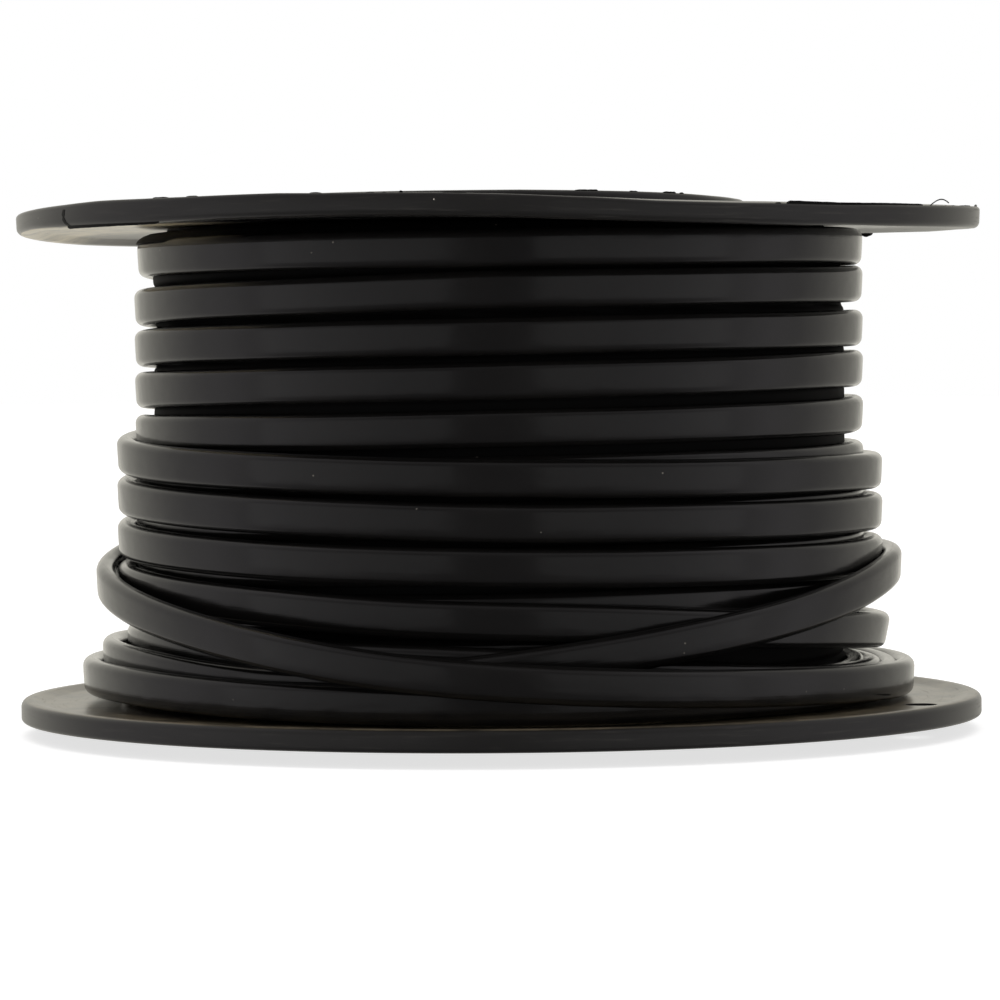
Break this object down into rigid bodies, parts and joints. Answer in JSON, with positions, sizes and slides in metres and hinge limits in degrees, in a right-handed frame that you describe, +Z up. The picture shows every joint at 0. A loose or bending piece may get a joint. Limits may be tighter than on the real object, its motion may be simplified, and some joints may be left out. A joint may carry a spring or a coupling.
{
  "type": "wire spool",
  "caption": "Black plastic two-flange spool wound with flat twin-core cable, loose last loops crossing at the front, arbor bore through the barrel.",
  "frame": {"origin": "on the spool's axis, in the plane the lower flange's round plate rests on", "axes": "+Z up along the spool's axis, from the lower flange to the upper one; -Y towards the picture's viewer"},
  "size_m": [0.2, 0.2, 0.1109],
  "materials": {
    "flange_plastic": "black moulded plastic, scuffed and dusty",
    "barrel_plastic": "black extruded plastic",
    "sheath_pvc": "satin black flexible PVC",
    "core_red_pvc": "satin red PVC",
    "core_black_pvc": "satin black PVC",
    "copper_strand": "bare cut copper"
  },
  "bodies": {
    "root": {"lower_flange": "flange_plastic", "upper_flange": "flange_plastic", "barrel": "barrel_plastic", "cable_pack": "sheath_pvc", "cable_winding": "sheath_pvc", "start_tail": "sheath_pvc", "start_core_red": "core_red_pvc", "start_core_black": "core_black_pvc", "start_conductor_red": "copper_strand", "start_conductor_black": "copper_strand", "finish_tail": "sheath_pvc", "finish_core_red": "core_red_pvc", "finish_core_black": "core_black_pvc", "finish_conductor_red": "copper_strand", "finish_conductor_black": "copper_strand"}
  },
  "joints": []
}
